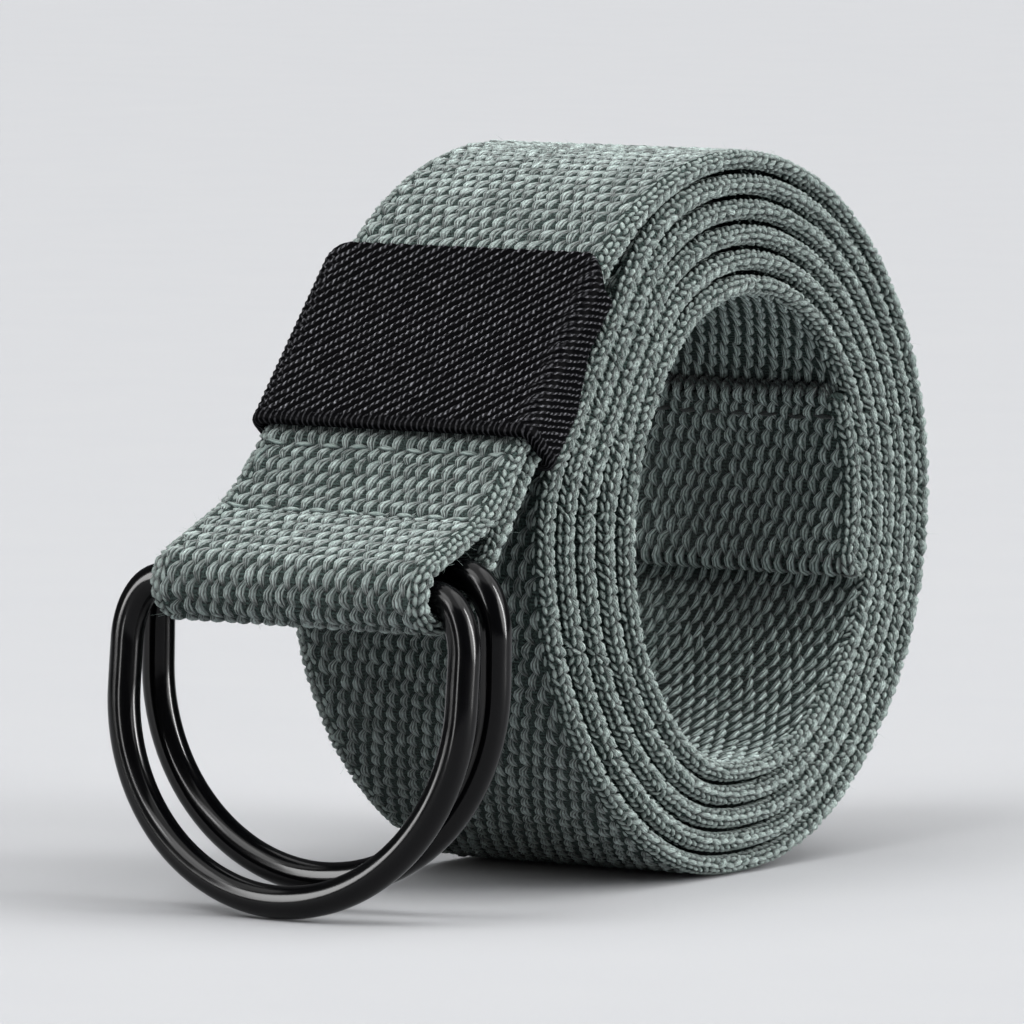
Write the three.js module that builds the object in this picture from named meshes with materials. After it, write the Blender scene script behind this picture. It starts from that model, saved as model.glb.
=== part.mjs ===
import * as THREE from 'three';

// A knitted webbing belt, rolled up, with the roll standing on its curved outer face.
// Millimetres, +Z up, the roll's axis along X, the ring end towards -Y.
// All profiles are drawn in the (y, z) plane through the roll's middle, with the roll's axis at (0, 0).

// The webbing strip
const WEBBING_WIDTH = 38;
const WEBBING_THICKNESS = 2.3;
const EDGE_CHAMFER = 0.6;
const LAYER_GAP = 0.3;

// The roll: directions are degrees from +Y, +Z being 90. The strap leaves it at LEAVE_ANGLE.
const LEAVE_ANGLE = 140;
const STRAP_RADIUS = 44.3;
const TIP_ANGLE = -1817.5;
const TURN_STEP = 7.5;
const FLOOR_DROP = 45.25;

// Outer face of each lap: its distance from the axis on the first lap, and how much nearer each next lap is.
const ROLL_SHAPE = [
  { direction: 140, outerRadius: 44.3, lapPitch: 3.1 },
  { direction: 115, outerRadius: 44.3, lapPitch: 3.4 },
  { direction: 90, outerRadius: 44.2, lapPitch: 3.15 },
  { direction: 45, outerRadius: 43.9, lapPitch: 2.8 },
  { direction: 0, outerRadius: 43.9, lapPitch: 2.65 },
  { direction: -45, outerRadius: 44.7, lapPitch: 2.7 },
  { direction: -90, outerRadius: 46.0, lapPitch: 2.85 },
  { direction: -130, outerRadius: 44.6, lapPitch: 3.65 },
  { direction: -160, outerRadius: 43.7, lapPitch: 4.2 },
  { direction: -185, outerRadius: 42.9, lapPitch: 4.35 },
  { direction: -202, outerRadius: 39.0, lapPitch: 3.4 },
];
const SECOND_LAP_RADIUS_UNDER_KEEPER = 38.1;

// The hem: the inner tip folded back on the hollow's side
const HEM_END_ANGLE = 27.5;

// The ring loop below the keeper
const BAR_FRONT = { y: -65.4, z: -5.83 };
const BAR_REAR = { y: -59.8, z: -3.6 };
const BAR_CLEARANCE = 0.5;
const NECK_BEND_RADIUS = 14;
const RETURN_HEADING = 58;
const RETURN_BEND_RADIUS = 12;
const FOLD_BACK_END = 12;
const LOOP_FLARE = { from: 24, to: 34, width: 39.2, sideways: -0.4 };
const ARC_STEP = 15;
const SAME_POINT = 0.001;

// The keeper sleeve, measured along the strap from where it leaves the roll
const KEEPER_WALL = 1.2;
const KEEPER_SHAPE = [
  { along: -4.8, depth: 5.7 },
  { along: 4, depth: 5.4 },
  { along: 12, depth: 8.1 },
  { along: 21.7, depth: 8.1 },
];
const KEEPER_OUTER_CORNER = 1.7;
const KEEPER_CORNER_STEPS = 4;

// The D-rings
const WIRE_RADIUS = 2;
const RING_HALF_WIDTH = 24.6;
const RING_HEIGHT = 37.6;
const RING_CORNER_WIDTH = 4.8;
const RING_CORNER_HEIGHT = 7.5;
const RING_CORNER_STEPS = 6;
const RING_BOW_STEPS = 26;
const WIRE_SIDES = 14;
const RINGS = [
  { name: 'ring_front', bar: BAR_FRONT, lean: 6, sideways: -1.7, color: 0x0b0b0d },
  { name: 'ring_rear', bar: BAR_REAR, lean: 1.5, sideways: -1.4, color: 0x0c0c0e },
];

const radians = (degrees) => (degrees * Math.PI) / 180;
const polar = (radius, degrees) => ({
  y: radius * Math.cos(radians(degrees)),
  z: radius * Math.sin(radians(degrees)),
});
const plus = (p, q, k = 1) => ({ y: p.y + k * q.y, z: p.z + k * q.z });
const heading = (degrees) => polar(1, degrees);
const leftOf = (d) => ({ y: -d.z, z: d.y });

// Where two lines cross, each given by a point and a direction.
function crossing(p, d, q, e) {
  const det = d.y * e.z - d.z * e.y;
  const k = ((q.y - p.y) * e.z - (q.z - p.z) * e.y) / det;
  return plus(p, d, k);
}

// Smooth curve through knots (at, value), at falling: cubic with averaged slopes.
function smoothValue(knots, at) {
  let i = 0;
  while (i < knots.length - 2 && at < knots[i + 1].at) i += 1;
  const slope = (a, b) => (knots[b].value - knots[a].value) / (knots[b].at - knots[a].at);
  const last = knots.length - 1;
  const slopeAt = (k) => {
    if (k === 0) return 0;
    if (k === last) return slope(last - 1, last);
    return slope(k - 1, k + 1);
  };
  const span = knots[i + 1].at - knots[i].at;
  const u = (at - knots[i].at) / span;
  const rise = u * u * (3 - 2 * u);
  const startPull = u * (1 - u) * (1 - u) * span * slopeAt(i);
  const endPull = u * u * (u - 1) * span * slopeAt(i + 1);
  return knots[i].value * (1 - rise) + knots[i + 1].value * rise + startPull + endPull;
}

// The knots of every lap in turn, from the strap's leaving point inwards.
function rollKnots() {
  const knots = [];
  const laps = Math.ceil((LEAVE_ANGLE - TIP_ANGLE) / 360) + 1;
  for (let lap = 0; lap < laps; lap += 1) {
    for (const row of ROLL_SHAPE) {
      let value = row.outerRadius - lap * row.lapPitch;
      if (row.direction === LEAVE_ANGLE && lap > 0) {
        value = SECOND_LAP_RADIUS_UNDER_KEEPER - (lap - 1) * row.lapPitch;
      }
      knots.push({ at: row.direction - 360 * lap, value });
    }
  }
  return knots;
}

// Middle line of the rolled webbing at a total angle, flattened a little where each lap lies on the next.
function rollPoint(knots, angle, inset = 0) {
  const lap = Math.floor((LEAVE_ANGLE - angle) / 360);
  const pitch = ROLL_SHAPE.find((row) => row.direction === -90).lapPitch;
  const radius = smoothValue(knots, angle) - WEBBING_THICKNESS / 2 - inset;
  const point = polar(radius, angle);
  const flat = -FLOOR_DROP + WEBBING_THICKNESS / 2 + lap * pitch;
  return { y: point.y, z: Math.max(point.z, flat) };
}

// Raw edge of the hem, round the tip, then outwards round the roll to the strap's leaving point.
function rollPath() {
  const knots = rollKnots();
  const layer = WEBBING_THICKNESS + LAYER_GAP;
  const path = [];
  const fullTurns = Math.floor(TIP_ANGLE / 360) * 360;
  const hemStart = fullTurns + 360 + HEM_END_ANGLE;
  for (let angle = hemStart; angle > TIP_ANGLE - 0.01; angle -= TURN_STEP) {
    path.push(rollPoint(knots, angle, layer));
  }
  const tipOuter = rollPoint(knots, TIP_ANGLE);
  const tipInner = path[path.length - 1];
  const foldCentre = { y: (tipOuter.y + tipInner.y) / 2, z: (tipOuter.z + tipInner.z) / 2 };
  const inward = Math.atan2(tipInner.z - foldCentre.z, tipInner.y - foldCentre.y);
  const foldSteps = 6;
  for (let i = 1; i < foldSteps; i += 1) {
    const turn = inward + (Math.PI * i) / foldSteps;
    const fold = { y: Math.cos(turn), z: Math.sin(turn) };
    path.push(plus(foldCentre, fold, layer / 2));
  }
  for (let angle = TIP_ANGLE; angle < LEAVE_ANGLE + 0.01; angle += TURN_STEP) {
    path.push(rollPoint(knots, angle));
  }
  return path;
}

// Straight lines between corners, each corner rounded by its own radius.
function roundedPath(corners) {
  const path = [corners[0]];
  for (let i = 1; i < corners.length - 1; i += 1) {
    const here = corners[i];
    const before = corners[i - 1];
    const after = corners[i + 1];
    const comingIn = Math.atan2(here.z - before.z, here.y - before.y);
    const goingOut = Math.atan2(after.z - here.z, after.y - here.y);
    const turn = Math.atan2(Math.sin(goingOut - comingIn), Math.cos(goingOut - comingIn));
    const side = Math.sign(turn);
    const back = here.radius * Math.tan(Math.abs(turn) / 2);
    const along = { y: Math.cos(comingIn), z: Math.sin(comingIn) };
    const start = plus(here, along, -back);
    const centre = plus(start, leftOf(along), side * here.radius);
    const steps = Math.max(2, Math.ceil(Math.abs(turn) / radians(ARC_STEP)));
    for (let k = 0; k <= steps; k += 1) {
      const angle = comingIn + (turn * k) / steps;
      const outward = { y: Math.sin(angle), z: -Math.cos(angle) };
      const point = plus(centre, outward, side * here.radius);
      const previous = path[path.length - 1];
      if (Math.hypot(point.y - previous.y, point.z - previous.z) > SAME_POINT) path.push(point);
    }
  }
  path.push(corners[corners.length - 1]);
  return path;
}

// The strap's frame where it leaves the roll: along it, and square out from it.
const STRAP_ALONG = heading(LEAVE_ANGLE + 90);
const STRAP_OUT = heading(LEAVE_ANGLE);
const strapPoint = (along, distance) => plus(
  { y: STRAP_OUT.y * distance, z: STRAP_OUT.z * distance },
  STRAP_ALONG,
  along,
);

// How far the strip is stretched sideways: nothing in the keeper, all of it round the bars.
function flareAt(p) {
  const along = p.y * STRAP_ALONG.y + p.z * STRAP_ALONG.z;
  const share = (along - LOOP_FLARE.from) / (LOOP_FLARE.to - LOOP_FLARE.from);
  return Math.min(1, Math.max(0, share));
}

// Strap, loop round both bars, and the layer folded back underneath up into the keeper.
function loopPath() {
  const layer = WEBBING_THICKNESS + LAYER_GAP;
  const bend = WIRE_RADIUS + BAR_CLEARANCE + WEBBING_THICKNESS / 2;
  const upperLine = STRAP_RADIUS - WEBBING_THICKNESS / 2;
  const span = { y: BAR_FRONT.y - BAR_REAR.y, z: BAR_FRONT.z - BAR_REAR.z };
  const length = Math.hypot(span.y, span.z);
  const forward = { y: span.y / length, z: span.z / length };
  const above = { y: forward.z, z: -forward.y };
  const top = plus(BAR_FRONT, above, bend);
  const bottom = plus(BAR_FRONT, above, -bend);
  const upwards = heading(RETURN_HEADING);
  const behindRear = plus(BAR_REAR, leftOf(upwards), -bend);
  const neck = crossing(strapPoint(0, upperLine), STRAP_ALONG, top, forward);
  const heel = crossing(bottom, forward, behindRear, upwards);
  const join = crossing(strapPoint(0, upperLine - layer), STRAP_ALONG, behindRear, upwards);
  const path = roundedPath([
    strapPoint(0, upperLine),
    { ...strapPoint(LOOP_FLARE.from, upperLine), radius: 0 },
    { ...neck, radius: NECK_BEND_RADIUS },
    { ...plus(top, forward, bend), radius: bend },
    { ...plus(bottom, forward, bend), radius: bend },
    { ...heel, radius: bend },
    { ...join, radius: RETURN_BEND_RADIUS },
    { ...strapPoint(LOOP_FLARE.from, upperLine - layer), radius: 0 },
    strapPoint(FOLD_BACK_END, upperLine - layer),
  ]);
  return path.map((p) => ({ ...p, flare: flareAt(p) }));
}

// Triangles of a body that runs through rings of points, all rings having the same count.
function skin(rings, closed) {
  const count = rings[0].length;
  const positions = rings.flat(2);
  const index = [];
  const spans = closed ? rings.length : rings.length - 1;
  for (let i = 0; i < spans; i += 1) {
    const next = (i + 1) % rings.length;
    for (let k = 0; k < count; k += 1) {
      const l = (k + 1) % count;
      const a = i * count + k;
      const b = i * count + l;
      const c = next * count + l;
      const d = next * count + k;
      index.push(a, b, c, a, c, d);
    }
  }
  return { positions, index, count };
}

function geometryFrom({ positions, index }) {
  const geometry = new THREE.BufferGeometry();
  geometry.setAttribute('position', new THREE.Float32BufferAttribute(positions, 3));
  geometry.setIndex(index);
  geometry.computeVertexNormals();
  return geometry;
}

// Unit normals on the left of a path, lengthened at bends so that the strip keeps its thickness.
function mitredNormals(path) {
  const directions = path.slice(1).map((p, i) => {
    const length = Math.hypot(p.y - path[i].y, p.z - path[i].z);
    return { y: (p.y - path[i].y) / length, z: (p.z - path[i].z) / length };
  });
  return path.map((p, i) => {
    const before = directions[Math.max(0, i - 1)];
    const after = directions[Math.min(directions.length - 1, i)];
    const sum = { y: before.y + after.y, z: before.z + after.z };
    const scale = 2 / (sum.y * sum.y + sum.z * sum.z);
    return leftOf({ y: sum.y * scale, z: sum.z * scale });
  });
}

// The webbing: a flat strip with chamfered edges, swept along its whole path.
function webbing() {
  const path = [...rollPath(), ...loopPath().slice(1)];
  const normals = mitredNormals(path);
  const t = WEBBING_THICKNESS / 2;
  const c = EDGE_CHAMFER;
  const rings = path.map((p, i) => {
    const flare = p.flare ?? 0;
    const w = (WEBBING_WIDTH + flare * (LOOP_FLARE.width - WEBBING_WIDTH)) / 2;
    const section = [
      [w - c, t], [w, t - c], [w, -t + c], [w - c, -t],
      [-w + c, -t], [-w, -t + c], [-w, t - c], [-w + c, t],
    ];
    return section.map(([x, n]) => {
      const at = plus(p, normals[i], n);
      return [x + flare * LOOP_FLARE.sideways, at.y, at.z];
    });
  });
  const body = skin(rings, false);
  const last = (rings.length - 1) * body.count;
  for (let k = 1; k < body.count - 1; k += 1) {
    body.index.push(0, k + 1, k);
    body.index.push(last, last + k, last + k + 1);
  }
  return geometryFrom(body);
}

// Outline of a rectangle with rounded corners, in (x, distance from the roll's axis).
function roundedRectangle(halfWidth, low, high, radius) {
  const outline = [];
  const corners = [
    { x: halfWidth - radius, d: high - radius, from: 0 },
    { x: -halfWidth + radius, d: high - radius, from: 90 },
    { x: -halfWidth + radius, d: low + radius, from: 180 },
    { x: halfWidth - radius, d: low + radius, from: 270 },
  ];
  for (const corner of corners) {
    for (let k = 0; k <= KEEPER_CORNER_STEPS; k += 1) {
      const turn = radians(corner.from + (90 * k) / KEEPER_CORNER_STEPS);
      outline.push([corner.x + radius * Math.cos(turn), corner.d + radius * Math.sin(turn)]);
    }
  }
  return outline;
}

// The keeper: a closed band round the strap and the layer folded back under it.
function keeper() {
  const high = STRAP_RADIUS + LAYER_GAP + KEEPER_WALL;
  const halfWidth = WEBBING_WIDTH / 2 + LAYER_GAP + KEEPER_WALL;
  const innerCorner = KEEPER_OUTER_CORNER - KEEPER_WALL;
  const place = (along) => ([x, distance]) => {
    const at = strapPoint(along, distance);
    return [x, at.y, at.z];
  };
  const outside = KEEPER_SHAPE.map(({ along, depth }) => (
    roundedRectangle(halfWidth, high - depth, high, KEEPER_OUTER_CORNER).map(place(along))));
  const inside = KEEPER_SHAPE.map(({ along, depth }) => (
    roundedRectangle(
      halfWidth - KEEPER_WALL,
      high - depth + KEEPER_WALL,
      high - KEEPER_WALL,
      innerCorner,
    ).map(place(along))));
  return geometryFrom(skin([...outside, ...inside.reverse()], true));
}

// Middle line of a D-ring in its own plane: x sideways, drop below the bar's middle line.
function ringOutline() {
  const bow = RING_HEIGHT - RING_HALF_WIDTH;
  const half = [];
  for (let k = 0; k <= RING_CORNER_STEPS; k += 1) {
    const turn = radians((90 * k) / RING_CORNER_STEPS);
    half.push({
      x: RING_HALF_WIDTH - RING_CORNER_WIDTH * (1 - Math.sin(turn)),
      drop: RING_CORNER_HEIGHT * (1 - Math.cos(turn)),
    });
  }
  for (let k = 0; k < RING_BOW_STEPS / 2; k += 1) {
    const turn = radians((180 * k) / RING_BOW_STEPS);
    half.push({ x: RING_HALF_WIDTH * Math.cos(turn), drop: bow + RING_HALF_WIDTH * Math.sin(turn) });
  }
  const other = half.map((p) => ({ x: -p.x, drop: p.drop })).reverse();
  return [...half, { x: 0, drop: RING_HEIGHT }, ...other];
}

// A D-ring: round wire bent to a straight bar, rounded shoulders and a half-round bow.
function dRing({ bar, lean, sideways }) {
  const outline = ringOutline();
  const down = { y: -Math.sin(radians(lean)), z: -Math.cos(radians(lean)) };
  const behind = { y: Math.cos(radians(lean)), z: -Math.sin(radians(lean)) };
  const rings = outline.map((p, i) => {
    const before = outline[(i + outline.length - 1) % outline.length];
    const after = outline[(i + 1) % outline.length];
    const length = Math.hypot(after.x - before.x, after.drop - before.drop);
    const out = { x: -(after.drop - before.drop) / length, drop: (after.x - before.x) / length };
    const section = [];
    for (let k = 0; k < WIRE_SIDES; k += 1) {
      const turn = radians((360 * k) / WIRE_SIDES);
      const across = WIRE_RADIUS * Math.cos(turn);
      const through = WIRE_RADIUS * Math.sin(turn);
      const drop = p.drop + across * out.drop;
      const at = plus(plus(bar, down, drop), behind, through);
      section.push([sideways + p.x + across * out.x, at.y, at.z]);
    }
    return section;
  });
  return geometryFrom(skin(rings, true));
}

function piece(name, geometry, color, roughness, metalness) {
  const material = new THREE.MeshStandardMaterial({ color, roughness, metalness });
  const mesh = new THREE.Mesh(geometry, material);
  mesh.name = name;
  return mesh;
}

// Moves all pieces so that the origin is the middle of the object's box, at its bottom.
function standOnFloor(meshes) {
  const box = new THREE.Box3();
  for (const mesh of meshes) {
    mesh.geometry.computeBoundingBox();
    box.union(mesh.geometry.boundingBox);
  }
  const middle = box.getCenter(new THREE.Vector3());
  for (const mesh of meshes) {
    mesh.geometry.translate(-middle.x, -middle.y, -box.min.z);
  }
}

const belt = new THREE.Group();
belt.name = 'rolled_belt';
const meshes = [
  piece('webbing', webbing(), 0x73908a, 0.95, 0),
  piece('keeper', keeper(), 0x121213, 0.8, 0),
];
for (const ring of RINGS) {
  meshes.push(piece(ring.name, dRing(ring), ring.color, 0.25, 0.2));
}
standOnFloor(meshes);
belt.add(...meshes);

export default belt;
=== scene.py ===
import math

import bpy
import numpy as np
from mathutils import Matrix


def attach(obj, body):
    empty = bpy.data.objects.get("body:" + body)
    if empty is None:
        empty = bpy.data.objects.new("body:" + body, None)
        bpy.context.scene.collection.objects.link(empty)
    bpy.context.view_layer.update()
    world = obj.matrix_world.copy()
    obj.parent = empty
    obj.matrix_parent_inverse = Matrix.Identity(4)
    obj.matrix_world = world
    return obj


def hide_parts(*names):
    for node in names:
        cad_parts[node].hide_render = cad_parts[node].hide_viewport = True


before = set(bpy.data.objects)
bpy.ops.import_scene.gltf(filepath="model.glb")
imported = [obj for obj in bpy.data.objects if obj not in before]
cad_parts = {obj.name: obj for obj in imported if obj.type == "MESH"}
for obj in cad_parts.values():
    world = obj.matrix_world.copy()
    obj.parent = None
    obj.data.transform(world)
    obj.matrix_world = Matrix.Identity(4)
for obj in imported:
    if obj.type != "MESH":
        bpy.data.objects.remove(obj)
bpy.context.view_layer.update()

# The webbing's core. One strip of knitted cotton, 38 mm wide and 2.3 mm thick, rolled up on itself,
# with its outer end folded round the ring bars and sewn back. The core is the dense ground of the
# knit, which shows only between the loops that stand on it, as faint cross threads painted dark as shade.

MM = 0.001
ROLL_CENTRE = (1.55, 13.7155, 45.25)
STRIP_THICKNESS = 2.3
LAYER_GAP = 0.3
LEAVE_ANGLE = 140.0
STRAP_RADIUS = 44.3
TIP_ANGLE = -1817.5
HEM_END_ANGLE = 27.5
FLOOR_DROP = 45.25

# Direction from +Y in degrees, outer radius of the first lap, and how much nearer each next lap is.
ROLL_SHAPE = np.array([
    (140, 44.3, 3.1), (115, 44.3, 3.4), (90, 44.2, 3.15), (45, 43.9, 2.8), (0, 43.9, 2.65),
    (-45, 44.7, 2.7), (-90, 46.0, 2.85), (-130, 44.6, 3.65), (-160, 43.7, 4.2), (-185, 42.9, 4.35),
    (-202, 39.0, 3.4),
])
LAPS_DRAWN = 7
SECOND_LAP_RADIUS = 38.1
FLOOR_LAP_PITCH = 2.85
FLAT_BLEND, FLAT_SINK = 1.5, 0.7
BAR_FRONT = np.array([-65.4, -5.83])
BAR_REAR = np.array([-59.8, -3.6])
BAR_BEND = 3.65
NECK_BEND = 14.0
RETURN_HEADING = 58.0
RETURN_BEND = 12.0
FOLDED_END_BELOW = 12.0
HEM_POINTS, FOLD_POINTS, TURN_POINTS = 60, 12, 1400
ROUTE_STEP = 0.25
FLARE_FROM, FLARE_TO = 24.0, 34.0
FLARE_STRETCH = 39.2 / 38.0
FLARE_SIDEWAYS = -0.4


def heading(degrees):
    """Unit vector in the (y, z) plane at an angle from +Y towards +Z."""
    turn = np.radians(degrees)
    return np.stack([np.cos(turn), np.sin(turn)], axis=-1)


STRAP_ALONG = heading(LEAVE_ANGLE + 90)
STRAP_OUT = heading(LEAVE_ANGLE)


def lap_radius(angle):
    """Distance of the strip's outer face from the roll's axis at a total angle: cubic curve through
    the roll's shape, lap after lap, with the slope at each knot taken across its two neighbours."""
    laps = np.arange(LAPS_DRAWN)[:, None]
    at = ROLL_SHAPE[:, 0] - 360 * laps
    radius = ROLL_SHAPE[:, 1] - laps * ROLL_SHAPE[:, 2]
    radius[1:, 0] = SECOND_LAP_RADIUS - np.arange(LAPS_DRAWN - 1) * ROLL_SHAPE[0, 2]
    at, radius = at.ravel()[::-1], radius.ravel()[::-1]
    slope = np.gradient(radius)
    slope[1:-1] = (radius[2:] - radius[:-2]) / (at[2:] - at[:-2])
    slope[-1] = 0
    i = np.clip(np.searchsorted(at, angle) - 1, 0, len(at) - 2)
    span = at[i + 1] - at[i]
    u = (angle - at[i]) / span
    rise = u * u * (3 - 2 * u)
    pull = span * (slope[i] * u * (1 - u) ** 2 - slope[i + 1] * u * u * (1 - u))
    return radius[i] * (1 - rise) + radius[i + 1] * rise + pull


def roll_points(angle, inset=0.0):
    """Middle line of the rolled strip: polar curve, lifted where each lap lies flat on the next, by
    the smooth larger one of its own height and the flat's."""
    lap = np.floor((LEAVE_ANGLE - angle) / 360)
    radius = lap_radius(angle) - STRIP_THICKNESS / 2 - inset
    points = radius[:, None] * heading(angle)
    flat = -FLOOR_DROP - FLAT_SINK + STRIP_THICKNESS / 2 + lap * FLOOR_LAP_PITCH
    above = points[:, 1] - flat
    points[:, 1] = flat + (above + np.sqrt(above * above + FLAT_BLEND ** 2)) / 2
    return points


def rounded_path(corners, radii, step=4.0):
    """Straight lines between corners, each corner replaced by an arc of its own radius, with a point
    every few degrees."""
    points = [corners[0][None]]
    for before, here, after, radius in zip(corners[:-2], corners[1:-1], corners[2:], radii):
        coming = math.atan2(here[1] - before[1], here[0] - before[0])
        going = math.atan2(after[1] - here[1], after[0] - here[0])
        turn = math.atan2(math.sin(going - coming), math.cos(going - coming))
        back = radius * math.tan(abs(turn) / 2)
        along = np.array([math.cos(coming), math.sin(coming)])
        left = np.array([-along[1], along[0]])
        centre = here - back * along + math.copysign(radius, turn) * left
        count = max(3, int(abs(math.degrees(turn)) / step))
        swept = coming + np.linspace(0, turn, count)
        outward = np.stack([np.sin(swept), -np.cos(swept)], axis=1)
        points.append(centre + math.copysign(radius, turn) * outward)
    points.append(corners[-1][None])
    return np.concatenate(points)


def crossing(p, d, q, e):
    """Where the line through p along d meets the line through q along e."""
    return p + d * ((q[0] - p[0]) * e[1] - (q[1] - p[1]) * e[0]) / (d[0] * e[1] - d[1] * e[0])


def strap_point(along, distance):
    """Point in the roll's (y, z) plane, measured along the strap and square out from it."""
    return STRAP_OUT * distance + STRAP_ALONG * along


def loop_points():
    """Strap, neck, round both ring bars, and back up under the strap."""
    upper = STRAP_RADIUS - STRIP_THICKNESS / 2
    lower = upper - STRIP_THICKNESS - LAYER_GAP
    forward = (BAR_FRONT - BAR_REAR) / np.linalg.norm(BAR_FRONT - BAR_REAR)
    above = np.array([forward[1], -forward[0]])
    top = BAR_FRONT + BAR_BEND * above
    bottom = BAR_FRONT - BAR_BEND * above
    upwards = heading(RETURN_HEADING)
    behind = BAR_REAR - BAR_BEND * np.array([-upwards[1], upwards[0]])
    corners = [
        strap_point(0, upper),
        crossing(strap_point(0, upper), STRAP_ALONG, top, forward),
        top + BAR_BEND * forward,
        bottom + BAR_BEND * forward,
        crossing(bottom, forward, behind, upwards),
        crossing(strap_point(0, lower), STRAP_ALONG, behind, upwards),
        strap_point(FOLDED_END_BELOW, lower),
    ]
    return rounded_path(corners, [NECK_BEND, BAR_BEND, BAR_BEND, BAR_BEND, RETURN_BEND])


def strip_route():
    """The strip's middle line from the hem's raw edge to the end folded back under the strap, as
    evenly spaced points, with the places along it of the tip's fold and of leaving the roll."""
    layer = STRIP_THICKNESS + LAYER_GAP
    hem_start = math.floor(TIP_ANGLE / 360) * 360 + 360 + HEM_END_ANGLE
    hem = roll_points(np.linspace(hem_start, TIP_ANGLE, HEM_POINTS), layer)
    turns = roll_points(np.linspace(TIP_ANGLE, LEAVE_ANGLE, TURN_POINTS))
    middle = (hem[-1] + turns[0]) / 2
    inward = math.atan2(*(hem[-1] - middle)[::-1])
    folded = np.degrees(inward) + np.linspace(0, 180, FOLD_POINTS)[1:-1]
    fold = middle + layer / 2 * heading(folded)
    rolled = np.concatenate([hem, fold, turns])
    points = np.concatenate([rolled, loop_points()[1:]])
    reach = np.concatenate([[0], np.cumsum(np.linalg.norm(np.diff(points, axis=0), axis=1))])
    tip = reach[len(hem) + len(fold) // 2]
    leave = reach[len(rolled) - 1]
    keep = np.concatenate([[True], np.diff(reach) > 1e-4])
    even = np.arange(0, reach[-1], ROUTE_STEP)
    table = [np.interp(even, reach[keep], points[keep, k]) for k in (0, 1)]
    return even, np.stack(table, axis=1), tip, leave


ROUTE_AT, ROUTE, TIP_AT, LEAVE_AT = strip_route()
TANGENT = np.gradient(ROUTE, ROUTE_AT, axis=0)
TANGENT /= np.linalg.norm(TANGENT, axis=1)[:, None]
STRIP_LENGTH = ROUTE_AT[-1]
FLARE = np.clip((ROUTE @ STRAP_ALONG - FLARE_FROM) / (FLARE_TO - FLARE_FROM), 0, 1)
FLARE[ROUTE_AT < LEAVE_AT] = 0
MEAN_RADIUS = 43.6
LAP_START = LEAVE_AT - 2 * math.pi * MEAN_RADIUS

# The soft edges swell until they nearly meet the next lap, less where the laps lie far apart. They are
# slim by the tip, on the strap and on the outer turn's free side.
CORE_RADIUS = 0.78
FACE_HALF = 17.6
EDGE_RISE = 0.3
EDGE_BLEND = 1.5
EDGE_LOOP_HEIGHT = 0.33
EDGE_HALF = CORE_RADIUS + EDGE_RISE + EDGE_LOOP_HEIGHT
FREE_EDGE = 1.3
SLIM_TIP = 25.0
LAP_ROOM = 0.02
EDGE_BULGE = 1.35
THINNEST_EDGE, THICKEST_EDGE = 1.25, 1.9
SNUG_PITCH, LOOSE_SHARE = 3.3, 0.6
SWELL_FROM, SWELL_TO = 15.0, 17.4
STITCH_ROWS_FROM_LEAVE = (24.0, 34.5)
GROOVE_DEPTH = 0.42
GROOVE_HALF_WIDTH = 0.9
GROOVE_REACH = 2.4
GROOVE_HALF = 17.0
direction = np.degrees(np.arctan2(ROUTE[:, 1], ROUTE[:, 0]))
direction = np.where(direction > LEAVE_ANGLE, direction - 360, direction)
lap_pitch = np.interp(direction, ROLL_SHAPE[::-1, 0], ROLL_SHAPE[::-1, 2])
lap_pitch[(ROUTE_AT < TIP_AT + SLIM_TIP) | (ROUTE_AT > LEAVE_AT)] = STRIP_THICKNESS
half_edge = lap_pitch / 2 - LAP_ROOM - LOOSE_SHARE * np.maximum(lap_pitch - SNUG_PITCH, 0)
SWELL = np.clip(half_edge, THINNEST_EDGE, THICKEST_EDGE) / EDGE_HALF - 1
FREE_SWELL = FREE_EDGE / EDGE_HALF - 1


def groove(s):
    """How far the outer face is pulled down by a row of stitches through both layers."""
    depth = np.zeros_like(s)
    for row in STITCH_ROWS_FROM_LEAVE:
        depth = depth + GROOVE_DEPTH * np.exp(-((s - LEAVE_AT - row) / GROOVE_HALF_WIDTH) ** 2)
    return depth


def on_strip(s, x, n):
    """Points of the part, in metres, at s along the strip, x across it and n out from its middle on
    the roll's outer side. The soft edges bulge. Past either end the strip runs straight on."""
    inside = np.clip(s, 0, STRIP_LENGTH)
    y, z, ty, tz, flare = (
        np.interp(inside, ROUTE_AT, column)
        for column in (ROUTE[:, 0], ROUTE[:, 1], TANGENT[:, 0], TANGENT[:, 1], FLARE)
    )
    past = s - inside
    swell = np.interp(inside, ROUTE_AT, SWELL)
    swell = np.where((n > 0) & (inside > LAP_START), np.minimum(swell, FREE_SWELL), swell)
    near_edge = np.clip((np.abs(x) - SWELL_FROM) / (SWELL_TO - SWELL_FROM), 0, 1)
    n = n * (1 + swell * near_edge)
    n = n - groove(s) * np.clip(GROOVE_HALF - np.abs(x), 0, 1) * (n > 0)
    x = np.sign(x) * (np.abs(x) + (EDGE_BULGE - 1) * np.maximum(np.abs(x) - FACE_HALF, 0))
    wide = x * (1 + flare * (FLARE_STRETCH - 1)) + flare * FLARE_SIDEWAYS
    return MM * np.stack([
        wide + ROLL_CENTRE[0],
        y + past * ty + n * tz + ROLL_CENTRE[1],
        z + past * tz - n * ty + ROLL_CENTRE[2],
    ], axis=-1)


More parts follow.
